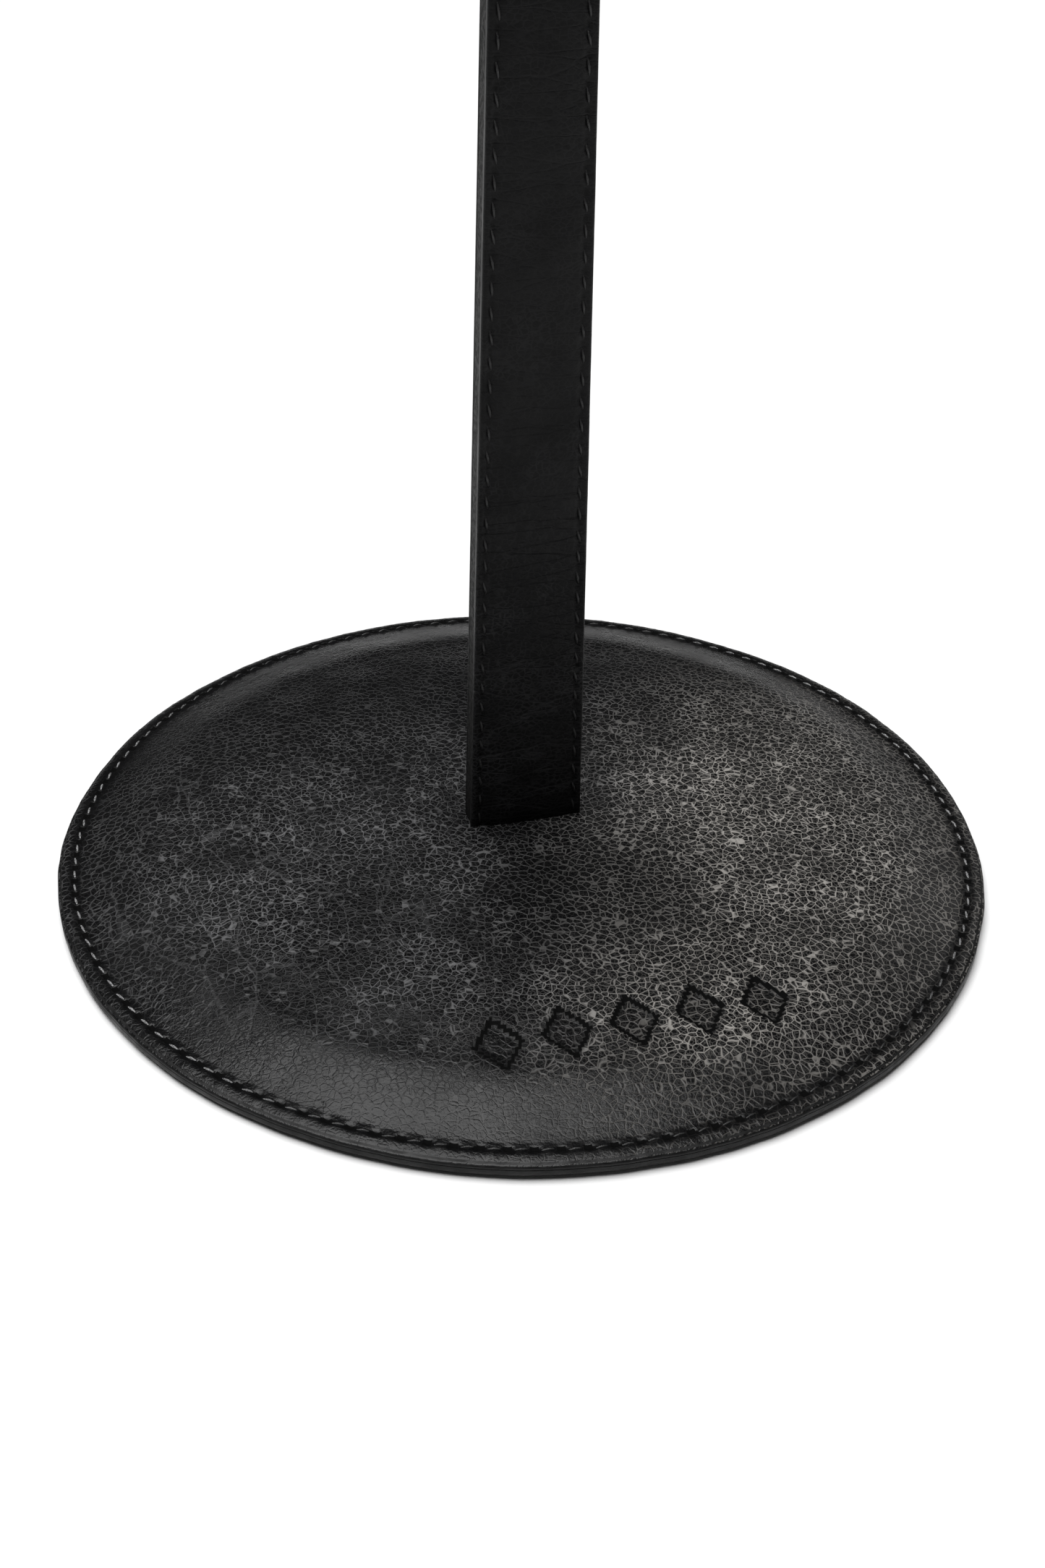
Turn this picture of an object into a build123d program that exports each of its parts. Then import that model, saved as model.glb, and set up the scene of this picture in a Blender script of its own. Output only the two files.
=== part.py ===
"""Leather-covered roll stand: a padded round base with a flat tapering post.

Millimetres. The origin is the centre of the base's underside, +Z is up, +X runs
across the post's flat faces, and -Y is the front.
"""

import os

from build123d import *

# Driving dimensions
BASE_RADIUS = 80.0  # outer edge of the stitched rim
RIM_SEAM_INSET = 3.0  # from the rim's edge in to the seam
PAD_THICK = 0.8  # anti-slip pad under the sole
BASE_LEATHER = 1.2  # thickness of the sole and of the top cover
PLATE_RADIUS = 64.0
PLATE_THICK = 2.5
FOAM_CROWN = 1.7  # from the plate up to the cover's underside in the middle
POST_FOOT_WIDTH = 19.6
POST_TIP_WIDTH = 11.5
POST_LENGTH = 260.0  # from the base's crown to the rounded tip
POST_LEATHER = 1.3  # thickness of each strap
FILLER_THICK = 2.6  # leatherboard between the straps
POST_SEAM_INSET = 2.1

# Sizes that only a maker sees
PLATE_EDGE_ROUND = 1.2
DOME_FALL = 0.95  # how much lower the shoulder is than the crown
SHOULDER_RADIUS = 63.0
COVER_TURN = (75.9, 70.6)  # radii where the cover's grain side leaves the rim, and is halfway up
UNDER_TURN = (75.2, 70.0)  # the same on its flesh side
HALFWAY_FALL = 2.3  # how much lower than the crown the slope is at its halfway radius
SLOPE_START = (-1, 0, 0.35)  # direction in which the slope leaves the rim
PAD_INSET = 5.0  # from the seam in to the anti-slip pad's edge
FLANGE_CORNER = 3.0
FLANGE_ROOM = 0.5  # space round the flange, in the foam
WELD_SHORT = 0.5  # how far each weld stops short of the bar's side
BAR_THICK = 2.5
BAR_FOOT_WIDTH = 12.0
BAR_TIP_WIDTH = 5.0
BAR_TO_TIP = 9.0  # from the bar's end to the post's tip
FLANGE_X, FLANGE_Y, FLANGE_THICK = 34.0, 22.0, 1.5
SCREW_X, SCREW_Y = 12.0, 7.0  # half the screw spacing each way
SCREW_RADIUS = 1.5
SCREW_HEAD_RADIUS = 2.7
SCREW_HEAD_HEIGHT = 1.2
SCREW_LENGTH = FLANGE_THICK + PLATE_THICK
HEX_RADIUS, HEX_DEPTH = 1.1, 0.9
WELD_LEG = 1.0
SLIT_X, SLIT_Y = 15.0, 4.9  # opening in the top cover, under the post's foot
GROOVE_WIDTH, GROOVE_DEPTH = 0.9, 0.35
THREAD_WIDTH, THREAD_THICK = 0.7, 0.3
FIT_GAP = 0.05
SCREW_GAP = 0.02

# Levels worked out from them
SOLE_BOTTOM = PAD_THICK
SOLE_TOP = SOLE_BOTTOM + BASE_LEATHER
RIM_TOP = SOLE_TOP + BASE_LEATHER
PLATE_TOP = SOLE_TOP + PLATE_THICK
FLANGE_TOP = PLATE_TOP + FLANGE_THICK
CROWN_UNDER = PLATE_TOP + FOAM_CROWN
CROWN = CROWN_UNDER + BASE_LEATHER
SEAM_RADIUS = BASE_RADIUS - RIM_SEAM_INSET
TIP_Z = CROWN + POST_LENGTH
TIP_RADIUS = POST_TIP_WIDTH / 2
TIP_CENTRE_Z = TIP_Z - TIP_RADIUS
BAR_TOP = TIP_Z - BAR_TO_TIP


def ring(radius, width, z_low, z_high):
    """A flat ring whose section is a small rectangle."""
    body = Cylinder(radius + width / 2, z_high - z_low, align=(Align.CENTER, Align.CENTER, Align.MIN))
    hole = Cylinder(radius - width / 2, z_high - z_low, align=(Align.CENTER, Align.CENTER, Align.MIN))
    return Pos(0, 0, z_low) * (body - hole)


def disc(radius, z_low, z_high):
    cylinder = Cylinder(radius, z_high - z_low, align=(Align.CENTER, Align.CENTER, Align.MIN))
    return Pos(0, 0, z_low) * cylinder


def block(x, y, z_low, z_high):
    box = Box(x, y, z_high - z_low, align=(Align.CENTER, Align.CENTER, Align.MIN))
    return Pos(0, 0, z_low) * box


def dome_edge(turn, foot_z, crown_z):
    """The line from the rim's inner edge up over the shoulder to the crown, in the XZ plane."""
    shoulder_z = crown_z - DOME_FALL
    shoulder = (SHOULDER_RADIUS, 0, shoulder_z)
    slope = Spline(
        (turn[0], 0, foot_z),
        (turn[1], 0, crown_z - HALFWAY_FALL),
        shoulder,
        tangents=[SLOPE_START, (-1, 0, 2 * DOME_FALL / SHOULDER_RADIUS)],
    )
    halfway = (SHOULDER_RADIUS / 2, 0, crown_z - DOME_FALL / 4)
    return [slope, ThreePointArc(shoulder, halfway, (0, 0, crown_z))]


def outer_dome():
    """The top cover's grain side."""
    return dome_edge(COVER_TURN, RIM_TOP, CROWN)


def inner_dome(drop=0.0):
    """The top cover's flesh side, or the foam's top if drop is a small gap."""
    return dome_edge(UNDER_TURN, SOLE_TOP, CROWN_UNDER - drop)


def turned(edges):
    """A solid of revolution about Z from a closed loop of edges in the XZ plane."""
    return revolve(make_face(edges), Axis.Z, 360)


def screw_places():
    return [(sx * SCREW_X, sy * SCREW_Y) for sx in (-1, 1) for sy in (-1, 1)]


def make_anti_slip_pad():
    return disc(SEAM_RADIUS - PAD_INSET, 0, SOLE_BOTTOM)


def make_sole():
    groove = ring(SEAM_RADIUS, GROOVE_WIDTH, SOLE_BOTTOM, SOLE_BOTTOM + GROOVE_DEPTH)
    return disc(BASE_RADIUS, SOLE_BOTTOM, SOLE_TOP) - groove


def make_weight_plate():
    plate = disc(PLATE_RADIUS, SOLE_TOP, PLATE_TOP)
    plate = fillet(plate.edges().sort_by(Axis.Z)[-1], PLATE_EDGE_ROUND)
    for x, y in screw_places():
        plate -= Pos(x, y, 0) * disc(SCREW_RADIUS + SCREW_GAP, SOLE_TOP, PLATE_TOP)
    return plate


def make_foam():
    closing = Polyline((0, 0, CROWN_UNDER - FIT_GAP), (0, 0, SOLE_TOP), (UNDER_TURN[0], 0, SOLE_TOP))
    foam = turned([*inner_dome(FIT_GAP), closing])
    foam -= disc(PLATE_RADIUS + FIT_GAP, SOLE_TOP, PLATE_TOP)
    return foam - block(FLANGE_X + 2 * FLANGE_ROOM, FLANGE_Y + 2 * FLANGE_ROOM, SOLE_TOP, CROWN)


def make_top_cover():
    rim = Polyline(
        (UNDER_TURN[0], 0, SOLE_TOP),
        (BASE_RADIUS, 0, SOLE_TOP),
        (BASE_RADIUS, 0, RIM_TOP),
        (COVER_TURN[0], 0, RIM_TOP),
    )
    axis_line = Line((0, 0, CROWN_UNDER), (0, 0, CROWN))
    cover = turned([rim, *outer_dome(), axis_line, *inner_dome()])
    cover -= ring(SEAM_RADIUS, GROOVE_WIDTH, RIM_TOP - GROOVE_DEPTH, RIM_TOP)
    return cover - block(SLIT_X, SLIT_Y, PLATE_TOP, CROWN + 1)


def make_foot_flange():
    flange = block(FLANGE_X, FLANGE_Y, PLATE_TOP, FLANGE_TOP)
    flange = fillet(flange.edges().filter_by(Axis.Z), FLANGE_CORNER)
    slot = block(BAR_FOOT_WIDTH + 2 * FIT_GAP, BAR_THICK + 2 * FIT_GAP, PLATE_TOP, FLANGE_TOP)
    flange -= slot
    for x, y in screw_places():
        flange -= Pos(x, y, 0) * disc(SCREW_RADIUS + SCREW_GAP, PLATE_TOP, FLANGE_TOP)
        sink = Cone(
            SCREW_RADIUS + SCREW_GAP,
            SCREW_HEAD_RADIUS + SCREW_GAP,
            SCREW_HEAD_HEIGHT,
            align=(Align.CENTER, Align.CENTER, Align.MAX),
        )
        flange -= Pos(x, y, FLANGE_TOP) * sink
    return flange


def make_foot_screw():
    head = Cone(
        SCREW_RADIUS,
        SCREW_HEAD_RADIUS,
        SCREW_HEAD_HEIGHT,
        align=(Align.CENTER, Align.CENTER, Align.MAX),
    )
    shank = Cylinder(SCREW_RADIUS, SCREW_LENGTH, align=(Align.CENTER, Align.CENTER, Align.MAX))
    hex_socket = extrude(RegularPolygon(HEX_RADIUS, 6), -HEX_DEPTH)
    return Pos(0, 0, FLANGE_TOP) * (head + shank - hex_socket)


def make_foot_screws():
    screw = make_foot_screw()
    return Compound(children=[Pos(x, y, 0) * screw for x, y in screw_places()])


def make_weld_beads():
    """A fillet weld along each face of the bar, on top of the flange."""
    face = BAR_THICK / 2 + FIT_GAP
    beads = []
    for side in (-1, 1):
        section = Polyline(
            (0, side * face, FLANGE_TOP),
            (0, side * (face + WELD_LEG), FLANGE_TOP),
            (0, side * face, FLANGE_TOP + WELD_LEG),
            close=True,
        )
        half = BAR_FOOT_WIDTH / 2 - WELD_SHORT
        bead = extrude(make_face(section), half, dir=(1, 0, 0), both=True)
        beads.append(bead)
    return Compound(children=beads)


def tapered(foot_width, tip_width, z_low, z_high):
    """A flat tapering outline in the XZ plane."""
    corners = [
        (-foot_width / 2, 0, z_low),
        (foot_width / 2, 0, z_low),
        (tip_width / 2, 0, z_high),
        (-tip_width / 2, 0, z_high),
    ]
    return make_face(Polyline(*corners, close=True))


def strap_outline(inset=0.0):
    """The post's outline with its sides and rounded tip drawn in by inset; its foot stays put."""
    foot = POST_FOOT_WIDTH / 2 - inset
    tip = TIP_RADIUS - inset
    sides = Polyline(
        (-tip, 0, TIP_CENTRE_Z),
        (-foot, 0, CROWN),
        (foot, 0, CROWN),
        (tip, 0, TIP_CENTRE_Z),
    )
    cap = ThreePointArc((tip, 0, TIP_CENTRE_Z), (0, 0, TIP_CENTRE_Z + tip), (-tip, 0, TIP_CENTRE_Z))
    return make_face([*sides.edges(), cap])


def slab(face, y_low, y_high):
    """An outline in the XZ plane, thickened from y_low to y_high."""
    return Pos(0, y_low, 0) * extrude(face, y_high - y_low, dir=(0, 1, 0))


def seam_band(width, y_low, y_high):
    """A band of that width along the post's seam, up one side, round the tip and down."""
    outside = strap_outline(POST_SEAM_INSET - width / 2)
    inside = strap_outline(POST_SEAM_INSET + width / 2)
    return slab(outside, y_low, y_high) - slab(inside, y_low, y_high)


def make_strap(front):
    """One of the two straps, with the groove that its seam lies in."""
    inner = FILLER_THICK / 2
    outer = inner + POST_LEATHER
    side = -1 if front else 1
    y_low, y_high = sorted((side * inner, side * outer))
    g_low, g_high = sorted((side * (outer - GROOVE_DEPTH), side * outer))
    return slab(strap_outline(), y_low, y_high) - seam_band(GROOVE_WIDTH, g_low, g_high)


def make_post_thread(front):
    floor = FILLER_THICK / 2 + POST_LEATHER - GROOVE_DEPTH
    side = -1 if front else 1
    y_low, y_high = sorted((side * floor, side * (floor + THREAD_THICK)))
    return seam_band(THREAD_WIDTH, y_low, y_high)


def make_spine_bar():
    outline = tapered(BAR_FOOT_WIDTH, BAR_TIP_WIDTH, CROWN, BAR_TOP)
    blade = slab(outline, -BAR_THICK / 2, BAR_THICK / 2)
    return blade + block(BAR_FOOT_WIDTH, BAR_THICK, PLATE_TOP, CROWN)


def make_filler():
    """The whole leatherboard frame round the bar, before it is cut into its three pieces."""
    half = FILLER_THICK / 2
    channel = tapered(
        BAR_FOOT_WIDTH + 2 * FIT_GAP,
        BAR_TIP_WIDTH + 2 * FIT_GAP,
        CROWN,
        BAR_TOP + FIT_GAP,
    )
    return slab(strap_outline(), -half, half) - slab(channel, -half, half)


def make_filler_side(side):
    """The strip of filler beside the bar, on the side of +X or -X."""
    width = POST_FOOT_WIDTH
    keep = Pos(side * width / 2, 0, 0) * block(width, width, CROWN, BAR_TOP + FIT_GAP)
    return make_filler() & keep


def make_filler_tip():
    return make_filler() & block(POST_FOOT_WIDTH, POST_FOOT_WIDTH, BAR_TOP + FIT_GAP, TIP_Z)


def base_thread(z_low):
    return ring(SEAM_RADIUS, THREAD_WIDTH, z_low, z_low + THREAD_THICK)


NODES = {
    "anti_slip_pad": make_anti_slip_pad,
    "base_sole_leather": make_sole,
    "weight_plate": make_weight_plate,
    "base_foam": make_foam,
    "base_top_leather": make_top_cover,
    "foot_flange": make_foot_flange,
    "foot_screws": make_foot_screws,
    "weld_beads": make_weld_beads,
    "spine_bar": make_spine_bar,
    "filler_strip_left": lambda: make_filler_side(-1),
    "filler_strip_right": lambda: make_filler_side(1),
    "filler_tip": make_filler_tip,
    "post_front_leather": lambda: make_strap(front=True),
    "post_back_leather": lambda: make_strap(front=False),
    "post_front_thread": lambda: make_post_thread(front=True),
    "post_back_thread": lambda: make_post_thread(front=False),
    "base_top_thread": lambda: base_thread(RIM_TOP - GROOVE_DEPTH),
    "base_under_thread": lambda: base_thread(SOLE_BOTTOM + GROOVE_DEPTH - THREAD_THICK),
}

os.makedirs("parts", exist_ok=True)
for name, make in NODES.items():
    export_step(make(), f"parts/{name}.step")
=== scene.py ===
import math
import random

import bmesh
import bpy
from mathutils import Matrix, Vector, kdtree, noise


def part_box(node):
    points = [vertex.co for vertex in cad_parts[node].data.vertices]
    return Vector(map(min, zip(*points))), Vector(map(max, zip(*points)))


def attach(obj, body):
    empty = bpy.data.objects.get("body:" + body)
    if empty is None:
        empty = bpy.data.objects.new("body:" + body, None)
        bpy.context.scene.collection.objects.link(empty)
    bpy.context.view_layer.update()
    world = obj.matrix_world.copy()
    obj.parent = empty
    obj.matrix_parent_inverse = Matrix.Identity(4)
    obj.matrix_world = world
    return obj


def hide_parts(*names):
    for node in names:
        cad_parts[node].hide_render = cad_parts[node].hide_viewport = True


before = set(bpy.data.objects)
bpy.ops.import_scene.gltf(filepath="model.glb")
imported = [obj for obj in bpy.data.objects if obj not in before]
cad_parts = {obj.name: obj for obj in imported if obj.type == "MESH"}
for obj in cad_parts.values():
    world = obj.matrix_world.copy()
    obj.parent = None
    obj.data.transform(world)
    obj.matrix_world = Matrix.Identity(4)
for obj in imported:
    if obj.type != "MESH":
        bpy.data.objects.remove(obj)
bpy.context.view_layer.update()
random.seed(7)

MM = 0.001

# ---------------------------------------------------------------- sizes, from the frame
cover_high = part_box("base_top_leather")[1]
sole_low, sole_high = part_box("base_sole_leather")
plate_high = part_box("weight_plate")[1]
rim_thread_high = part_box("base_top_thread")[1]
strap_low, strap_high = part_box("post_front_leather")
post_thread_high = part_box("post_front_thread")[1]

BASE_RADIUS = cover_high.x
CROWN = cover_high.z
SOLE_TOP = sole_high.z
SOLE_BOTTOM = sole_low.z
LEATHER = SOLE_TOP - SOLE_BOTTOM
RIM_TOP = SOLE_TOP + LEATHER
THREAD_WIDTH = 0.7 * MM
SEAM_RADIUS = rim_thread_high.x - THREAD_WIDTH / 2
SHOULDER_RADIUS = BASE_RADIUS - 17 * MM
SHOULDER_DROP = 0.95 * MM
TURN_RADIUS = BASE_RADIUS - 4.1 * MM  # where the slope of the pad meets the flat rim
COVER_HOLE = 2.2 * MM  # opening under the post's foot
RIM_STITCHES = 128
STITCH_WIDTH = 0.42 * MM
RIM_DROOP = 0.55 * MM  # how far the rim bends down from the seam to its edge
ROUND_STEPS = RIM_STITCHES * 6

STITCH_SINK = 0.08 * MM
RIM_WAVE = 0.22 * MM  # how far the rim rises and falls around the base
HOLE_DEPTH = 0.42 * MM
HOLE_SPREAD = 0.56 * MM
SEAM_SINK = 0.07 * MM  # how deep the whole seam is drawn in
FOOT_SINK = 0.5 * MM  # how deep the pad is drawn in at the post's foot
MARK_DEPTH = 0.36 * MM
RIM_CORNER = 0.42 * MM  # radius of the rim's burnished corners
INNER_CORNER = 0.12 * MM  # and of the corners where cover and sole meet

FOOT_HALF = strap_high.x
FACE_OUT = -strap_low.y  # from the post's middle plane to its front face
FACE_IN = -strap_high.y  # and to the strap's flesh side
TIP_Z = strap_high.z
TIP_RADIUS = 5.75 * MM
TIP_CENTRE = TIP_Z - TIP_RADIUS
SEAM_INSET = FOOT_HALF - post_thread_high.x - THREAD_WIDTH / 2
POST_PITCH = 3.65 * MM
FOOT_TUCK = 0.9 * MM  # how far the straps go down into the pad


def smooth(low, high, x):
    """0 below low, 1 above high, an S-curve between."""
    t = min(max((x - low) / (high - low), 0.0), 1.0)
    return t * t * (3 - 2 * t)


def wave(x, y, z=0.0, size=1.0):
    """Smooth noise from about -1 to 1, whose bumps are about size across."""
    return noise.noise(Vector((x, y, z)) / size)


def round_wave(angle, bumps, seed):
    """Noise that closes up on itself after a full turn."""
    return noise.noise(Vector((math.cos(angle) * bumps / 6, math.sin(angle) * bumps / 6, seed)))


# ---------------------------------------------------------------- making pieces
def finish_mesh(bm, name, *materials):
    mesh = bpy.data.meshes.new(name)
    bm.to_mesh(mesh)
    bm.free()
    for material in materials:
        mesh.materials.append(material)
    for polygon in mesh.polygons:
        polygon.use_smooth = True
    piece = bpy.data.objects.new(name, mesh)
    bpy.context.scene.collection.objects.link(piece)
    return piece


def spun(section, steps, closed):
    """A bmesh turned about Z from a section of (radius, height) points."""
    bm = bmesh.new()
    points = [bm.verts.new((r, 0, z)) for r, z in section]
    pairs = list(zip(points, points[1:]))
    if closed:
        pairs.append((points[-1], points[0]))
    edges = [bm.edges.new(pair) for pair in pairs]
    turn = {"cent": (0, 0, 0), "axis": (0, 0, 1), "angle": math.tau}
    bmesh.ops.spin(bm, geom=points + edges, steps=steps, use_merge=True, **turn)
    bmesh.ops.remove_doubles(bm, verts=bm.verts, dist=1e-6)
    bmesh.ops.recalc_face_normals(bm, faces=bm.faces)
    return bm


def steps_between(start, end, count):
    """count values from start up to, but not including, end."""
    return [start + (end - start) * i / count for i in range(count)]


# ---------------------------------------------------------------- the base's shape
def pad_height(r, foot, crown):
    """Height of the pad's skin at radius r: a shallow dome, then a soft shoulder down to the rim."""
    shoulder = crown - SHOULDER_DROP
    if r <= SHOULDER_RADIUS:
        return crown - SHOULDER_DROP * (r / SHOULDER_RADIUS) ** 2
    span = TURN_RADIUS - SHOULDER_RADIUS
    t = min((r - SHOULDER_RADIUS) / span, 1.0)
    start_slope = -2 * SHOULDER_DROP / SHOULDER_RADIUS * span
    end_slope = -0.24 * span
    return (
        (2 * t**3 - 3 * t**2 + 1) * shoulder
        + (t**3 - 2 * t**2 + t) * start_slope
        + (3 * t**2 - 2 * t**3) * foot
        + (t**3 - t**2) * end_slope
    )


class Skin:
    """The pad's skin, settled as cloth that is sewn down at the seam and at the post."""

    STEPS = 256
    PRESSURE = 4
    SLACK = 0.0005  # how much larger the leather is cut than the pad it covers
    CAP = 0.4 * MM  # the most that the cloth may move a point

    def __init__(self):
        self.tree = None
        self.rises = []

    def settle(self):
        """Runs the cloth, and keeps how far each of its points rose."""
        radii = steps_between(10 * MM, SEAM_RADIUS - 1 * MM, 30) + [SEAM_RADIUS - 1 * MM]
        bm = spun([(r, pad_height(r, RIM_TOP, CROWN)) for r in radii], self.STEPS, closed=False)
        if sum(face.normal.z for face in bm.faces) < 0:
            bmesh.ops.reverse_faces(bm, faces=bm.faces)
        sheet = finish_mesh(bm, "skin_cloth")
        start = [vertex.co.copy() for vertex in sheet.data.vertices]
        sewn = [i for i, co in enumerate(start) if not radii[1] < co.xy.length < radii[-2]]
        sheet.vertex_groups.new(name="sewn").add(sewn, 1.0, "REPLACE")
        cloth = sheet.modifiers.new("cloth", "CLOTH")
        cloth.settings.vertex_group_mass = "sewn"
        cloth.settings.effector_weights.gravity = 0
        cloth.settings.use_pressure = True
        cloth.settings.uniform_pressure_force = self.PRESSURE
        cloth.settings.shrink_min = -self.SLACK
        scene = bpy.context.scene
        for number in range(1, 21):
            scene.frame_set(number)
        settled = sheet.evaluated_get(bpy.context.evaluated_depsgraph_get()).data
        self.tree = kdtree.KDTree(len(start))
        for i, co in enumerate(start):
            rise = settled.vertices[i].co.z - co.z
            self.rises.append(self.CAP * math.tanh(rise / self.CAP))
            self.tree.insert((co.x, co.y, 0), i)
        self.tree.balance()
        scene.frame_set(1)
        bpy.data.objects.remove(sheet)

    def rise_at(self, co):
        """How far the cloth rose at a place, between its nearest points."""
        if self.tree is None:
            return 0.0
        total = weights = 0.0
        for _, i, distance in self.tree.find_n((co.x, co.y, 0), 16):
            weight = 1 / (distance + 1.5 * MM)
            total += weight * self.rises[i]
            weights += weight
        return total / weights


skin = Skin()

MARK_CENTRE = Vector((2.0, -56.0)) * MM
MARK_COUNT = 5
MARK_STEP = 10.5 * MM
MARK_HALF_X = 4.1 * MM
MARK_HALF_Y = 5.6 * MM


def mark_press(x, y):
    """How deep the row of plain lozenges is pressed at a point, 0 to 1."""
    first = MARK_CENTRE.x - MARK_STEP * (MARK_COUNT - 1) / 2
    nearest = min(max(round((x - first) / MARK_STEP), 0), MARK_COUNT - 1)
    across = abs(x - first - nearest * MARK_STEP) / MARK_HALF_X
    from_centre = across + abs(y - MARK_CENTRE.y) / MARK_HALF_Y
    return 1 - smooth(0.66, 1.10, from_centre)


def foot_distance(x, y):
    """Distance from a point on the base to the post's footprint."""
    return math.hypot(max(abs(x) - FOOT_HALF, 0), max(abs(y) - FACE_OUT, 0))


def shape_base_point(co, grain_side):
    """Moves a point of the turned base to where handwork leaves it."""
    r = math.hypot(co.x, co.y)
    if r < 1e-6:
        return
    angle = math.atan2(co.y, co.x)
    edge = smooth(SEAM_RADIUS - 4 * MM, BASE_RADIUS, r)
    trim = 0.28 * MM * round_wave(angle, 22, 1.3) + 0.13 * MM * round_wave(angle, 90, 4.1) - 0.15 * MM
    ratio = (r + trim * edge) / r
    rise = RIM_WAVE * round_wave(angle, 16, 8.2) * edge
    if grain_side:
        on_pad = smooth(TURN_RADIUS, SHOULDER_RADIUS, r)
        rise += 0.30 * MM * wave(co.x, co.y, 0.3, 34 * MM) * on_pad
        rise += 0.05 * MM * wave(co.x, co.y, 0.7, 9 * MM) * on_pad
        rise -= FOOT_SINK * math.exp(-(foot_distance(co.x, co.y) / (7 * MM)) ** 2)
        rise -= MARK_DEPTH * mark_press(co.x, co.y)
        gather = math.exp(-((r - SEAM_RADIUS + 2.6 * MM) / (1.9 * MM)) ** 2)
        rise += 0.035 * MM * gather * round_wave(angle, 420, 2.2)
        crease = smooth(SEAM_RADIUS + 0.4 * MM, SEAM_RADIUS + 1.2 * MM, r)
        rise += 0.07 * MM * crease * round_wave(angle, 600, 6.6)
        rise -= SEAM_SINK * math.exp(-((r - SEAM_RADIUS) / (0.6 * MM)) ** 2)
        rise -= HOLE_DEPTH * rim_hole(co)
        rise += skin.rise_at(co) * smooth(SEAM_RADIUS, SEAM_RADIUS - 3 * MM, r)
    co.x *= ratio
    co.y *= ratio
    co.z += rise


def rim_edge(top, bottom, rounded_top, rounded_bottom):
    """Section points down the rim's cut edge, its burnished corners rounded."""
    high = RIM_CORNER if rounded_top else INNER_CORNER
    low = RIM_CORNER if rounded_bottom else INNER_CORNER
    points = []
    for turn in steps_between(0, math.pi / 2, 5):
        points.append((BASE_RADIUS - high + high * math.sin(turn), top - high + high * math.cos(turn)))
    points.append((BASE_RADIUS, top - high))
    points.append((BASE_RADIUS, bottom + low))
    for turn in steps_between(0, math.pi / 2, 4)[1:]:
        points.append((BASE_RADIUS - low + low * math.cos(turn), bottom + low - low * math.sin(turn)))
    points.append((BASE_RADIUS - low, bottom))
    return points


def rim_height(r):
    """Height of the rim outside the pad: flat to the seam, then bending down to the edge."""
    return RIM_TOP - RIM_DROOP * (max(r - SEAM_RADIUS, 0) / (BASE_RADIUS - SEAM_RADIUS)) ** 2


def cover_section():
    radii = steps_between(COVER_HOLE, 40 * MM, 26)
    radii += steps_between(40 * MM, SHOULDER_RADIUS + 1 * MM, 36)
    radii += steps_between(SHOULDER_RADIUS + 1 * MM, SEAM_RADIUS - 1.5 * MM, 20)
    radii += steps_between(SEAM_RADIUS - 1.5 * MM, SEAM_RADIUS + 1.5 * MM, 12)
    radii += steps_between(SEAM_RADIUS + 1.5 * MM, BASE_RADIUS - RIM_CORNER, 4)
    top = []
    for r in radii:
        top.append((r, pad_height(r, RIM_TOP, CROWN) if r < TURN_RADIUS else rim_height(r)))
    under = []
    for r in steps_between(TURN_RADIUS - 0.7 * MM, COVER_HOLE, 12) + [COVER_HOLE]:
        under.append((r, max(pad_height(r, RIM_TOP, CROWN) - LEATHER, SOLE_TOP)))
    return top + rim_edge(RIM_TOP - RIM_DROOP, SOLE_TOP, True, False) + under


def sole_section():
    top = [(r, SOLE_TOP) for r in steps_between(0, BASE_RADIUS - INNER_CORNER, 12)]
    under = [(r, SOLE_BOTTOM) for r in steps_between(BASE_RADIUS - 1 * MM, SEAM_RADIUS - 1.5 * MM, 10)]
    under += [(r, SOLE_BOTTOM) for r in steps_between(SEAM_RADIUS - 1.5 * MM, 0, 10)]
    return top + rim_edge(SOLE_TOP, SOLE_BOTTOM, False, True) + under + [(0, SOLE_BOTTOM)]


def paint_edges(piece):
    """Gives the rim's cut edge the second material, the edge paint."""
    for polygon in piece.data.polygons:
        outward = Vector((polygon.center.x, polygon.center.y, 0)).normalized()
        if polygon.center.xy.length > BASE_RADIUS - 1 * MM and polygon.normal.dot(outward) > 0.55:
            polygon.material_index = 1


def add_attribute(piece, name, value_at):
    """A number at each point of the mesh, worked out from its place."""
    attribute = piece.data.attributes.new(name, "FLOAT", "POINT")
    values = [value_at(vertex.co) for vertex in piece.data.vertices]
    attribute.data.foreach_set("value", values)


def rim_hole(co):
    """1 in a stitch hole of the rim, 0 away from them."""
    r = co.xy.length
    beat = math.cos(math.atan2(co.y, co.x) * RIM_STITCHES)
    return math.exp(-((r - SEAM_RADIUS) / HOLE_SPREAD) ** 2) * smooth(0.40, 0.85, beat)


def pad_shoulder(co):
    """0 on the flat of the pad, growing to 1 down at the seam."""
    return smooth(SHOULDER_RADIUS - 8 * MM, SEAM_RADIUS, co.xy.length)


def seam_band(co):
    """1 along the rim's seam, fading out to both sides."""
    return math.exp(-((co.xy.length - SEAM_RADIUS) / (1.3 * MM)) ** 2)


def paint_hollow_shade(piece):
    """Gives the stitch holes and the walls of the pressed lozenges the third material, a painted shade.
    """
    for polygon in piece.data.polygons:
        x, y, z = polygon.center
        if z < SOLE_TOP + LEATHER / 2:
            continue
        pressed = mark_press(x, y)
        if rim_hole(polygon.center) > 0.45 or 4 * pressed * (1 - pressed) > 0.55:
            polygon.material_index = 2


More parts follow.
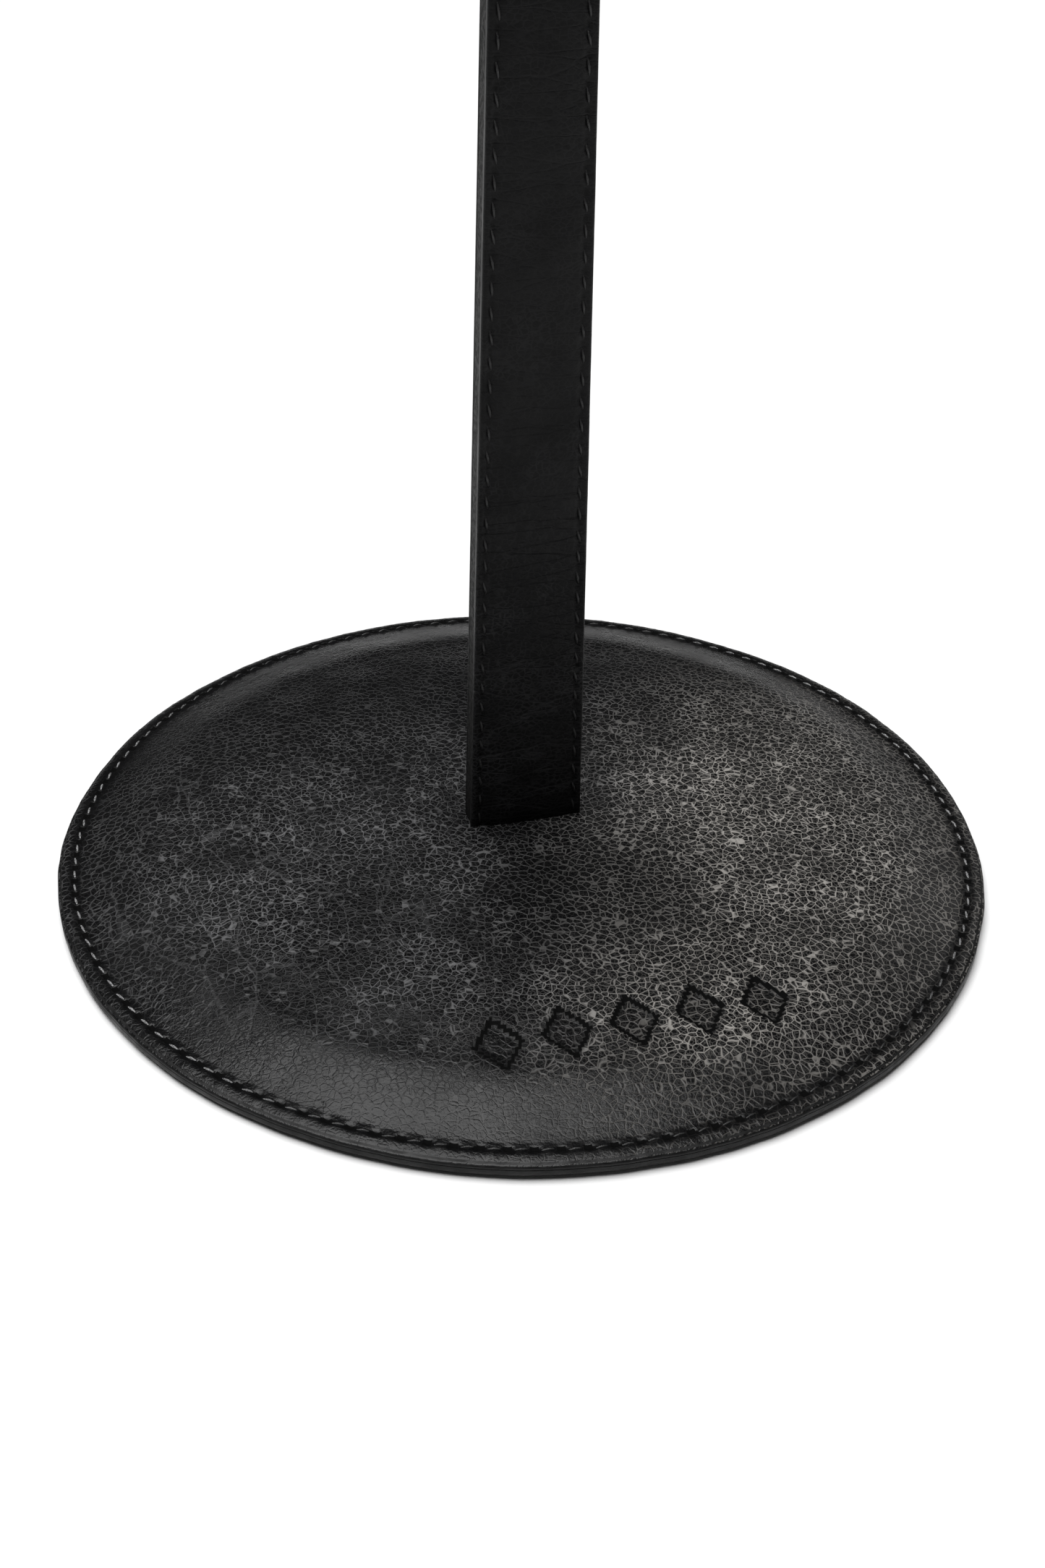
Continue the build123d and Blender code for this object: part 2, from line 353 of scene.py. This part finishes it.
def make_cover(leather, edge_paint, hollow):
    bm = spun(cover_section(), ROUND_STEPS, closed=True)
    middle = SOLE_TOP + 0.2 * LEATHER
    for vertex in bm.verts:
        r = vertex.co.xy.length
        outside = r < TURN_RADIUS and vertex.co.z > pad_height(r, RIM_TOP, CROWN) - LEATHER / 2
        on_rim = r >= TURN_RADIUS and vertex.co.z > middle
        shape_base_point(vertex.co, outside or on_rim)
    piece = finish_mesh(bm, "base_top_cover", leather, edge_paint, hollow)
    paint_edges(piece)
    paint_hollow_shade(piece)
    add_attribute(piece, "hole", rim_hole)
    add_attribute(piece, "pressed", lambda co: mark_press(co.x, co.y))
    add_attribute(piece, "shoulder", pad_shoulder)
    add_attribute(piece, "sewn", seam_band)
    return piece


def make_sole(leather, edge_paint):
    bm = spun(sole_section(), ROUND_STEPS, closed=False)
    for vertex in bm.verts:
        r = vertex.co.xy.length
        below = vertex.co.z < SOLE_BOTTOM + 0.01 * MM
        shape_base_point(vertex.co, False)
        if below:
            vertex.co.z += 0.35 * MM * math.exp(-((r - SEAM_RADIUS) / (0.5 * MM)) ** 2)
    piece = finish_mesh(bm, "base_sole", leather, edge_paint)
    paint_edges(piece)
    add_attribute(piece, "hole", rim_hole)
    return piece


# ---------------------------------------------------------------- stitches
def make_stitch_shape(length):
    """One stitch lying along X at the origin: a short plump thread whose ends dive into their holes."""
    bm = bmesh.new()
    bmesh.ops.create_uvsphere(bm, u_segments=8, v_segments=6, radius=1.0)
    for vertex in bm.verts:
        x, y, z = vertex.co.z, vertex.co.y, vertex.co.x
        fullness = 1 - 0.35 * x * x
        y *= STITCH_WIDTH / 2 * fullness
        vertex.co = Vector((x * length / 2, y, (0.25 * z * fullness - 0.52 * x * x) * MM))
    bmesh.ops.recalc_face_normals(bm, faces=bm.faces)
    shape = bpy.data.meshes.new("stitch")
    bm.to_mesh(shape)
    bm.free()
    return shape


def add_stitch(bm, shape, place, along, up, slant):
    """Lays a copy of the stitch at its place, turned along the seam and a little across it."""
    side = up.cross(along).normalized()
    turn = Matrix((along, side, up)).transposed().to_4x4()
    copy = shape.copy()
    copy.transform(Matrix.Translation(place) @ turn @ Matrix.Rotation(slant, 4, "Z"))
    bm.from_mesh(copy)
    bpy.data.meshes.remove(copy)


def make_rim_stitches(name, height, up, thread):
    bm = bmesh.new()
    shape = make_stitch_shape(math.tau * SEAM_RADIUS / RIM_STITCHES * 0.86)
    edge = smooth(SEAM_RADIUS - 4 * MM, BASE_RADIUS, SEAM_RADIUS)
    for i in range(RIM_STITCHES):
        angle = (i + 0.5) * math.tau / RIM_STITCHES
        outward = Vector((math.cos(angle), math.sin(angle), 0))
        along = Vector((-outward.y, outward.x, 0))
        rise = RIM_WAVE * round_wave(angle, 16, 8.2) * edge - STITCH_SINK
        trim = random.uniform(-0.06, 0.06) * MM
        place = outward * (SEAM_RADIUS + trim) + Vector((0, 0, height + rise))
        slant = math.radians(random.uniform(5, 12)) * up.z
        add_stitch(bm, shape, place, along, up, slant)
    return finish_mesh(bm, name, thread)


# ---------------------------------------------------------------- the post
def post_half_width(z):
    """Half the post's width at height z, the rounded tip included."""
    if z > TIP_CENTRE:
        return math.sqrt(max(TIP_RADIUS**2 - (z - TIP_CENTRE) ** 2, 0))
    return FOOT_HALF + (TIP_RADIUS - FOOT_HALF) * (z - CROWN) / (TIP_CENTRE - CROWN)


def seam_route():
    """Evenly spaced places along the post's seam: up the left, round the tip, down the right."""
    foot, top = FOOT_HALF - SEAM_INSET, TIP_RADIUS - SEAM_INSET
    route = []
    rise = TIP_CENTRE - CROWN
    count = int(rise / POST_PITCH)
    for i in range(count):
        t = (i + 0.35) / count
        route.append((-(foot + (top - foot) * t), CROWN + rise * t))
    for i in range(3):
        turn = math.pi * (i + 0.5) / 3
        route.append((-top * math.cos(turn), TIP_CENTRE + top * math.sin(turn)))
    return route + [(-x, z) for x, z in reversed(route[:count])]


ROUTE = seam_route()
STITCH_HOLES = [((a[0] + b[0]) / 2, (a[1] + b[1]) / 2) for a, b in zip(ROUTE, ROUTE[1:])]


def seam_distance(x, z):
    """How far a point of the strap's face is from its seam."""
    if z > TIP_CENTRE:
        return abs(math.hypot(x, z - TIP_CENTRE) - (TIP_RADIUS - SEAM_INSET))
    return abs(post_half_width(z) - SEAM_INSET - abs(x))


def hole_at(x, z):
    """1 in a stitch hole of the post, 0 away from them."""
    if seam_distance(x, z) > 1.5 * MM:
        return 0.0
    nearest = min(math.hypot(x - hx, z - hz) for hx, hz in STITCH_HOLES if abs(z - hz) < 5 * MM)
    return math.exp(-((nearest / (0.5 * MM)) ** 2))


def make_strap(name, front, leather):
    """A strap of the post: softly crowned between its seams, with burnished edges."""
    side = -1 if front else 1
    columns, rows, tip_rows = 44, 420, 16
    bm = bmesh.new()
    bmesh.ops.create_grid(bm, x_segments=columns, y_segments=rows, size=1.0)
    foot = CROWN - FOOT_TUCK
    straight = rows - tip_rows
    for vertex in bm.verts:
        row = (vertex.co.y + 1) / 2 * rows
        across = math.sin(vertex.co.x * math.pi / 2 * 0.86) / math.sin(math.pi / 2 * 0.86)
        if row <= straight:
            z = foot + (TIP_CENTRE - foot) * row / straight
            half = post_half_width(z)
        else:
            turn = (row - straight) / tip_rows * math.pi / 2
            z = TIP_CENTRE + TIP_RADIUS * math.sin(turn)
            half = TIP_RADIUS * math.cos(turn)
        vertex.co = Vector((across * half, 0, z))
    bmesh.ops.remove_doubles(bm, verts=bm.verts, dist=1e-6)
    face = list(bm.verts)
    outline = [edge for edge in bm.edges if edge.is_boundary]
    walls = bmesh.ops.extrude_edge_only(bm, edges=outline)["geom"]
    wall_points = [part for part in walls if isinstance(part, bmesh.types.BMVert)]
    for vertex in wall_points:
        vertex.co.y = side * FACE_IN
    rim_edges = [edge for edge in bm.edges if edge.is_boundary]
    bmesh.ops.contextual_create(bm, geom=rim_edges)
    for vertex in face:
        x, z = vertex.co.x, vertex.co.z
        if z > TIP_CENTRE:
            to_edge = TIP_RADIUS - math.hypot(x, z - TIP_CENTRE)
        else:
            to_edge = post_half_width(z) - abs(x)
        crown = 0.30 * MM * smooth(SEAM_INSET, SEAM_INSET + 4 * MM, to_edge)
        crown += 0.10 * MM * wave(x, z, side, 11 * MM)
        crown += 0.05 * MM * wave(x * 0.5, z * 2.2, side, 5 * MM)
        rounding = 0.42 * MM * (1 - math.sqrt(1 - (1 - min(max(to_edge / (0.7 * MM), 0), 1)) ** 2))
        groove = 0.26 * MM * math.exp(-(seam_distance(x, z) / (0.5 * MM)) ** 2)
        dent = 0.22 * MM * hole_at(x, z)
        vertex.co.y = side * (FACE_OUT - 0.05 * MM + crown - rounding - groove - dent)
        if z < CROWN + 0.5 * MM:
            vertex.co.y -= side * 0.1 * MM
    bmesh.ops.recalc_face_normals(bm, faces=bm.faces)
    piece = finish_mesh(bm, name, leather)
    on_face = FACE_IN + 0.1 * MM
    add_attribute(piece, "hole", lambda co: hole_at(co.x, co.z) if abs(co.y) > on_face else 0.0)
    return piece


def make_post_stitches(name, front, thread):
    side = -1 if front else 1
    bm = bmesh.new()
    up = Vector((0, side, 0))
    shape = make_stitch_shape(POST_PITCH * 0.84)
    for i, (x, z) in enumerate(ROUTE):
        before = ROUTE[max(i - 1, 0)]
        after = ROUTE[min(i + 1, len(ROUTE) - 1)]
        along = Vector((after[0] - before[0], 0, after[1] - before[1])).normalized()
        place = Vector((x + random.uniform(-0.06, 0.06) * MM, side * (FACE_OUT - 0.12 * MM), z))
        slant = math.radians(random.uniform(6, 14)) * -side
        add_stitch(bm, shape, place, along, up, slant)
    return finish_mesh(bm, name, thread)


# ---------------------------------------------------------------- foam
def make_foam(material):
    radii = steps_between(19 * MM, 74 * MM, 26) + [74.6 * MM]
    gap = 0.12 * MM
    top = [(r, max(pad_height(r, RIM_TOP, CROWN) - LEATHER - gap, SOLE_TOP + gap)) for r in radii]
    under = [(74.2 * MM, SOLE_TOP + gap), (plate_high.x + gap, SOLE_TOP + gap)]
    under += [(plate_high.x + gap, plate_high.z + gap), (19 * MM, plate_high.z + gap)]
    bm = spun(top + under, 180, closed=True)
    for vertex in bm.verts:
        if vertex.co.z > plate_high.z + 2 * gap:
            vertex.co.z -= 0.25 * MM * abs(wave(vertex.co.x, vertex.co.y, 0.5, 12 * MM))
    return finish_mesh(bm, "base_foam_pad", material)


# ---------------------------------------------------------------- materials
class Nodes:
    """Short ways to add and join a material's nodes."""

    def __init__(self, name):
        self.material = bpy.data.materials.new(name)
        self.material.use_nodes = True
        self.tree = self.material.node_tree
        self.shader = self.tree.nodes["Principled BSDF"]
        self.place = self.add("ShaderNodeTexCoord").outputs["Object"]

    def add(self, kind, inputs=(), **settings):
        node = self.tree.nodes.new(kind)
        for key, value in settings.items():
            setattr(node, key, value)
        for key, value in dict(inputs).items():
            if isinstance(value, bpy.types.NodeSocket):
                self.tree.links.new(value, node.inputs[key])
            else:
                node.inputs[key].default_value = value
        return node

    def math(self, operation, a, b=0.0, clamp=False):
        node = self.add("ShaderNodeMath", {0: a, 1: b}, operation=operation, use_clamp=clamp)
        return node.outputs[0]

    def times(self, a, b):
        return self.math("MULTIPLY", a, b)

    def plus(self, a, b, clamp=False):
        return self.math("ADD", a, b, clamp)

    def less(self, a, b):
        return self.math("SUBTRACT", a, b)

    def axes(self):
        return self.add("ShaderNodeSeparateXYZ", {0: self.place}).outputs

    def away_from(self, point):
        """Distance from a point of the piece."""
        node = self.add("ShaderNodeVectorMath", {0: self.place, 1: point}, operation="DISTANCE")
        return node.outputs["Value"]

    def attribute(self, name):
        return self.add("ShaderNodeAttribute", attribute_name=name).outputs["Fac"]

    def noise(self, size, detail=2.0, roughness=0.5, vector=None):
        inputs = {"Vector": vector or self.place, "Scale": 1 / size}
        inputs.update({"Detail": detail, "Roughness": roughness})
        return self.add("ShaderNodeTexNoise", inputs).outputs["Fac"]

    def ramp(self, value, low, high, start=0.0, end=1.0):
        inputs = {"Value": value, "From Min": low, "From Max": high, "To Min": start, "To Max": end}
        return self.add("ShaderNodeMapRange", inputs, interpolation_type="SMOOTHSTEP").outputs["Result"]

    def mix(self, factor, a, b):
        node = self.add("ShaderNodeMix", data_type="RGBA")
        for socket, value in zip((node.inputs[0], node.inputs[6], node.inputs[7]), (factor, a, b)):
            if isinstance(value, bpy.types.NodeSocket):
                self.tree.links.new(value, socket)
            else:
                socket.default_value = value
        return node.outputs[2]

    def mapped(self, scale, turn=0.0):
        inputs = {"Vector": self.place, "Scale": scale, "Rotation": (0, 0, turn)}
        return self.add("ShaderNodeMapping", inputs).outputs["Vector"]

    def cells(self, size, vector, randomness=1.0):
        """Distance to the nearest crease between cells of about that size."""
        inputs = {"Vector": vector, "Scale": 1 / size, "Randomness": randomness}
        node = self.add("ShaderNodeTexVoronoi", inputs, feature="DISTANCE_TO_EDGE")
        return node.outputs["Distance"]

    def vectors(self, operation, inputs):
        return self.add("ShaderNodeVectorMath", inputs, operation=operation).outputs[0]

    def wobbled(self, vector, size, amount):
        """The same place, pushed about by noise so that lines wander."""
        noisy = self.add("ShaderNodeTexNoise", {"Vector": vector, "Scale": 1 / size, "Detail": 2.0})
        centred = self.vectors("SUBTRACT", {0: noisy.outputs["Color"], 1: (0.5, 0.5, 0.5)})
        scaled = self.vectors("SCALE", {0: centred, "Scale": amount})
        return self.vectors("ADD", {0: vector, 1: scaled})

    def set(self, **sockets):
        for name, value in sockets.items():
            socket = self.shader.inputs[name.replace("_", " ")]
            if isinstance(value, bpy.types.NodeSocket):
                self.tree.links.new(value, socket)
            else:
                socket.default_value = value

    def bump(self, height, depth, strength=1.0):
        inputs = {"Height": height, "Distance": depth, "Strength": strength}
        self.set(Normal=self.add("ShaderNodeBump", inputs).outputs["Normal"])


def grey(level):
    return (level, level, level, 1)


BLACK = (0.0022, 0.0022, 0.0024, 1)
GREY_CREASE = (0.150, 0.150, 0.153, 1)
# Paler, warmer creases for the right side: partly the leather's tint, partly painted light.
WARM_CREASE_AND_LIGHT = (0.310, 0.295, 0.275, 1)
# Painted shade for stitch holes and the walls of pressed marks.
PAINTED_HOLLOW_SHADE = grey(0.002)


def base_leather():
    n = Nodes("pebbled_black_leather")
    place = n.wobbled(n.place, 3 * MM, 0.9 * MM)
    pebble = n.cells(1.24 * MM, place)
    fine = n.cells(0.62 * MM, place)
    long_lines = n.cells(8.5 * MM, n.wobbled(n.mapped((1.0, 0.45, 1.0), 0.5), 6 * MM, 4 * MM))
    split = n.axes()
    patch = n.noise(24 * MM, 3.0)
    # The grain is smoothed by wear towards the front left and stands out on the right, where its
    # creases are paler and warmer: partly their own tint, partly painted light from that side.
    lean = n.plus(n.times(split["X"], 0.45), split["Y"])
    wear_and_shade = n.ramp(n.plus(lean, n.times(patch, 30 * MM)), -68 * MM, -34 * MM, 0.25, 1.0)
    aside = n.less(split["X"], n.times(split["Y"], 0.50))
    right_tint_and_light = n.ramp(n.plus(aside, n.times(patch, 30 * MM)), 4 * MM, 60 * MM)
    # Painted shade: the pale creases fade towards the back, where less light falls.
    toward_back_shade = n.plus(split["Y"], n.times(patch, 24 * MM))
    wear_and_shade = n.times(wear_and_shade, n.ramp(toward_back_shade, 12 * MM, 58 * MM, 1.0, 0.20))
    pressed = n.attribute("pressed")
    wear_and_shade = n.times(wear_and_shade, n.ramp(pressed, 0.2, 0.9, 1.0, 0.35))
    # Painted shade: the pale creases fade in front of the post's foot, a painted shadow of the post.
    foot_shadow_reach = n.away_from(Vector((4, -26, 7)) * MM)
    wear_and_shade = n.times(wear_and_shade, n.ramp(foot_shadow_reach, 8 * MM, 30 * MM, 0.30, 1.0))
    shoulder = n.attribute("shoulder")
    wear_and_shade = n.times(wear_and_shade, n.ramp(shoulder, 0.0, 1.0, 1.0, 0.40))
    sewn = n.attribute("sewn")
    wear_and_shade = n.times(wear_and_shade, n.ramp(sewn, 0.1, 0.8, 1.0, 0.15))
    crease = n.times(n.ramp(pebble, 0.01, 0.10, 1.0, 0.0), wear_and_shade)
    hair = n.times(n.ramp(fine, 0.0, 0.10, 0.28, 0.0), wear_and_shade)
    leftward = n.ramp(split["X"], -60 * MM, 12 * MM, 1.0, 0.0)
    scratch = n.times(n.ramp(long_lines, 0.0, 0.020, 1.0, 0.0), n.times(leftward, wear_and_shade))
    amount = n.ramp(n.noise(11 * MM, 3.0), 0.30, 0.70, 0.30, 0.85)
    # Painted light: more of the pale creases show on the right, as if lit from that side.
    amount = n.plus(amount, n.times(right_tint_and_light, 0.30))
    lines = n.times(n.math("MAXIMUM", crease, hair), amount)
    lines = n.plus(lines, n.times(scratch, 0.22), clamp=True)
    # Partly the leather's warm tint, partly painted light: the creases are paler and warmer on the
    # right.
    crease_tint_and_light = n.mix(right_tint_and_light, GREY_CREASE, WARM_CREASE_AND_LIGHT)
    colour = n.mix(lines, BLACK, crease_tint_and_light)
    # Painted shade: the stitch holes and the walls of the pressed lozenges are painted near black,
    # where shade falls.
    hole = n.attribute("hole")
    wall = n.times(n.times(pressed, n.less(1.0, pressed)), 3.2)
    hollow_shade_mask = n.plus(n.ramp(hole, 0.15, 0.6), wall, clamp=True)
    n.set(Base_Color=n.mix(hollow_shade_mask, colour, PAINTED_HOLLOW_SHADE))
    sheen = n.ramp(n.noise(14 * MM, 4.0), 0.3, 0.7, 0.23, 0.32)
    sheen = n.less(sheen, n.times(pressed, 0.05))
    sheen = n.plus(sheen, n.times(hollow_shade_mask, 0.45))
    n.set(Roughness=n.plus(sheen, n.times(lines, 0.25), clamp=True))
    n.set(Specular_IOR_Level=0.18)
    height = n.less(n.times(n.noise(0.45 * MM, 2.0), 0.32), n.times(crease, 0.9))
    height = n.less(height, n.times(hair, 0.35))
    height = n.plus(height, n.times(n.noise(3.2 * MM, 2.0), 0.5))
    n.bump(height, 0.18 * MM)
    return n.material


def post_leather():
    n = Nodes("fine_black_leather")
    place = n.wobbled(n.mapped((1.0, 1.0, 1.35)), 3 * MM, 1.2 * MM)
    pebble = n.cells(1.0 * MM, place)
    cross = n.cells(4.2 * MM, n.wobbled(n.mapped((0.32, 0.32, 1.6)), 3 * MM, 2.2 * MM))
    split = n.axes()
    low = n.ramp(split["Z"], 12 * MM, 110 * MM, 0.5, 0.15)
    crease = n.times(n.ramp(pebble, 0.0, 0.18, 1.0, 0.0), low)
    folds = n.times(n.ramp(cross, 0.0, 0.05, 1.0, 0.0), low)
    patch = n.ramp(n.noise(6 * MM, 3.0), 0.35, 0.7, 0.15, 0.6)
    lines = n.times(n.math("MAXIMUM", crease, folds), patch)
    colour = n.mix(lines, BLACK, (0.060, 0.060, 0.063, 1))
    hole = n.attribute("hole")
    # Painted shade: the stitch holes are painted near black.
    n.set(Base_Color=n.mix(n.ramp(hole, 0.25, 0.8), colour, PAINTED_HOLLOW_SHADE))
    n.set(Roughness=n.ramp(n.noise(9 * MM, 4.0), 0.3, 0.7, 0.42, 0.56))
    n.set(Specular_IOR_Level=0.16)
    height = n.less(n.times(n.noise(0.4 * MM, 2.0), 0.15), n.times(crease, 0.5))
    height = n.less(height, n.times(folds, 0.8))
    height = n.plus(height, n.times(n.noise(2.4 * MM, 3.0), 0.9))
    n.bump(height, 0.14 * MM)
    return n.material


def edge_paint():
    n = Nodes("black_edge_paint")
    along = n.mapped((1.0, 1.0, 6.0))
    streak = n.noise(1.3 * MM, 4.0, 0.6, along)
    n.set(Base_Color=n.mix(n.ramp(streak, 0.35, 0.75), grey(0.003), grey(0.012)))
    n.set(Roughness=n.ramp(n.noise(3 * MM, 3.0), 0.3, 0.7, 0.34, 0.58))
    n.set(Specular_IOR_Level=0.20)
    n.bump(streak, 0.05 * MM)
    return n.material


def hollow_shade_material():
    """Painted shade: a matt black for the faces deep in a stitch hole or in the wall of a pressed mark,
    where shade falls.
    """
    n = Nodes("painted_hollow_shade")
    n.set(Base_Color=PAINTED_HOLLOW_SHADE, Roughness=0.75)
    n.set(Specular_IOR_Level=0.04)
    n.bump(n.noise(0.45 * MM, 2.0), 0.05 * MM)
    return n.material


def leatherboard():
    n = Nodes("painted_leatherboard")
    layers = n.noise(0.5 * MM, 3.0, 0.6, n.mapped((1.0, 6.0, 0.4)))
    pits = n.noise(0.8 * MM, 4.0)
    n.set(Base_Color=n.mix(n.ramp(layers, 0.35, 0.7), grey(0.003), (0.010, 0.010, 0.009, 1)))
    n.set(Roughness=n.ramp(pits, 0.3, 0.7, 0.45, 0.7))
    n.set(Specular_IOR_Level=0.15)
    n.bump(n.plus(layers, n.times(pits, 0.5)), 0.12 * MM)
    return n.material


def waxed_thread():
    n = Nodes("waxed_thread")
    fibres = n.noise(0.16 * MM, 3.0, 0.6)
    split = n.axes()
    # Painted glints: the thread is painted paler towards the left and right of the base, standing in
    # for lamp glints there.
    side_glint = n.ramp(n.math("ABSOLUTE", split["X"]), 38 * MM, 74 * MM, 0.03, 0.85)
    pale = n.times(n.ramp(fibres, 0.35, 0.65), side_glint)
    n.set(Base_Color=n.mix(pale, grey(0.004), (0.50, 0.50, 0.505, 1)))
    n.set(Roughness=n.ramp(fibres, 0.3, 0.7, 0.30, 0.55))
    n.bump(fibres, 0.08 * MM)
    return n.material


def foam():
    n = Nodes("open_cell_foam")
    cells = n.cells(0.6 * MM, n.place)
    n.set(Base_Color=n.mix(n.ramp(cells, 0.0, 0.3), (0.32, 0.30, 0.26, 1), (0.62, 0.60, 0.55, 1)))
    n.set(Roughness=0.9)
    n.bump(cells, 0.3 * MM)
    return n.material


def rubber():
    n = Nodes("anti_slip_rubber")
    dimples = n.cells(1.6 * MM, n.place, 0.15)
    dust = n.noise(9 * MM, 5.0, 0.6)
    n.set(Base_Color=n.mix(n.ramp(dust, 0.4, 0.75), grey(0.012), (0.035, 0.034, 0.033, 1)))
    n.set(Roughness=n.ramp(dust, 0.3, 0.7, 0.62, 0.82))
    n.bump(n.ramp(dimples, 0.0, 0.3), 0.15 * MM)
    return n.material


def painted_plate():
    n = Nodes("painted_steel")
    peel = n.noise(1.1 * MM, 2.0)
    n.set(Base_Color=n.mix(n.noise(20 * MM, 4.0), (0.012, 0.012, 0.013, 1), (0.03, 0.03, 0.032, 1)))
    n.set(Roughness=n.ramp(peel, 0.3, 0.7, 0.35, 0.5))
    n.bump(peel, 0.05 * MM)
    return n.material


def steel(name, colour, grain):
    n = Nodes(name)
    brushed = n.noise(0.4 * MM, 3.0, 0.6, n.mapped(grain))
    dull = tuple(c * 0.75 for c in colour[:3]) + (1,)
    n.set(Metallic=1.0, Base_Color=n.mix(n.ramp(brushed, 0.35, 0.7), dull, colour))
    n.set(Roughness=n.ramp(brushed, 0.3, 0.7, 0.25, 0.42))
    n.bump(brushed, 0.03 * MM)
    return n.material


def repaint(material, *names):
    for name in names:
        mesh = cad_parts[name].data
        mesh.materials.clear()
        mesh.materials.append(material)


# ---------------------------------------------------------------- the object
skin.settle()

on_base = base_leather()
on_post = post_leather()
painted = edge_paint()
thread = waxed_thread()
board = leatherboard()


def dress(piece, slot, *nodes):
    """The piece stands for those nodes, which it hides, and moves with the stand; slot is not used."""
    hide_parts(*nodes)
    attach(piece, "root")


cover = make_cover(on_base, painted, hollow_shade_material())
dress(cover, "base_leather", "base_top_leather")
sole = make_sole(on_base, painted)
dress(sole, "base_leather", "base_sole_leather")
foam_pad = make_foam(foam())
dress(foam_pad, "foam", "base_foam")
rim_stitches = make_rim_stitches("rim_stitches", RIM_TOP, Vector((0, 0, 1)), thread)
dress(rim_stitches, "thread", "base_top_thread")
under_stitches = make_rim_stitches("under_stitches", SOLE_BOTTOM + 0.2 * MM, Vector((0, 0, -1)), thread)
dress(under_stitches, "thread", "base_under_thread")
for end, front in (("front", True), ("back", False)):
    strap = make_strap(f"post_{end}_strap", front, on_post)
    dress(strap, "post_leather", f"post_{end}_leather")
    stitches = make_post_stitches(f"post_{end}_stitches", front, thread)
    dress(stitches, "thread", f"post_{end}_thread")

repaint(board, "filler_strip_left", "filler_strip_right", "filler_tip")
repaint(rubber(), "anti_slip_pad")
repaint(painted_plate(), "weight_plate")
mill_steel = steel("mill_steel", (0.46, 0.46, 0.47, 1), (1.0, 1.0, 0.1))
zinc_steel = steel("zinc_steel", (0.55, 0.55, 0.58, 1), (1.0, 1.0, 1.0))
repaint(mill_steel, "spine_bar", "foot_flange", "weld_beads")
repaint(zinc_steel, "foot_screws")

# ---------------------------------------------------------------- floor, light and camera
VIEW_TURN = math.radians(16.0)
VIEW_PITCH = math.radians(34.0)
VIEW_ROLL = math.radians(1.2)
VIEW_DISTANCE = 4.03 * SEAM_RADIUS
VIEW_RAISE = 0.085 * SEAM_RADIUS
VIEW_NEARER = 2.5 * MM


def make_floor():
    bm = bmesh.new()
    bmesh.ops.create_grid(bm, x_segments=2, y_segments=2, size=6.0)
    n = Nodes("pale_floor")
    n.set(Base_Color=n.mix(n.noise(0.4, 3.0), grey(0.86), grey(0.88)), Roughness=0.9)
    floor = finish_mesh(bm, "floor", n.material)


def make_lights():
    world = bpy.data.worlds.new("studio")
    bpy.context.scene.world = world
    world.use_nodes = True
    tree = world.node_tree
    dim = tree.nodes["Background"]
    dim.inputs["Color"].default_value = (1, 1, 1, 1)
    dim.inputs["Strength"].default_value = 0.055
    backdrop = tree.nodes.new("ShaderNodeBackground")
    backdrop.inputs["Color"].default_value = (1, 1, 1, 1)
    seen = tree.nodes.new("ShaderNodeLightPath")
    either = tree.nodes.new("ShaderNodeMixShader")
    tree.links.new(seen.outputs["Is Camera Ray"], either.inputs[0])
    tree.links.new(dim.outputs[0], either.inputs[1])
    tree.links.new(backdrop.outputs[0], either.inputs[2])
    tree.links.new(either.outputs[0], tree.nodes["World Output"].inputs["Surface"])
    overhead = bpy.data.lights.new("overhead", "SUN")
    overhead.energy = 3.75
    overhead.angle = math.radians(48)
    lamp = bpy.data.objects.new("overhead", overhead)
    lamp.rotation_euler = (math.radians(-5), math.radians(-9), 0)
    bpy.context.scene.collection.objects.link(lamp)
    softbox = bpy.data.lights.new("right_softbox", "AREA")
    softbox.shape = "RECTANGLE"
    softbox.size, softbox.size_y = 0.16, 0.16
    softbox.energy = 0.09
    lamp = bpy.data.objects.new("right_softbox", softbox)
    lamp.location = (0.45, 0.24, 0.31)
    lamp.rotation_euler = (-Vector(lamp.location)).to_track_quat("-Z", "Y").to_euler()
    bpy.context.scene.collection.objects.link(lamp)


def make_camera():
    forward = Vector(
        (
            math.cos(VIEW_PITCH) * math.sin(VIEW_TURN),
            math.cos(VIEW_PITCH) * math.cos(VIEW_TURN),
            -math.sin(VIEW_PITCH),
        )
    )
    level = forward.cross(Vector((0, 0, 1))).normalized()
    upright = level.cross(forward)
    right = math.cos(VIEW_ROLL) * level + math.sin(VIEW_ROLL) * upright
    up = right.cross(forward)
    nearer = Vector((forward.x, forward.y, 0)).normalized() * VIEW_NEARER
    place = Vector((0, 0, RIM_TOP)) - forward * VIEW_DISTANCE + up * VIEW_RAISE + nearer
    data = bpy.data.cameras.new("camera")
    data.lens = 40.2
    data.sensor_width = 36
    camera = bpy.data.objects.new("camera", data)
    turned = Matrix((right, up, -forward)).transposed()
    camera.matrix_world = Matrix.Translation(place) @ turned.to_4x4()
    bpy.context.scene.collection.objects.link(camera)
    bpy.context.scene.camera = camera


make_floor()
make_lights()
make_camera()
bpy.context.scene.view_settings.view_transform = "Standard"
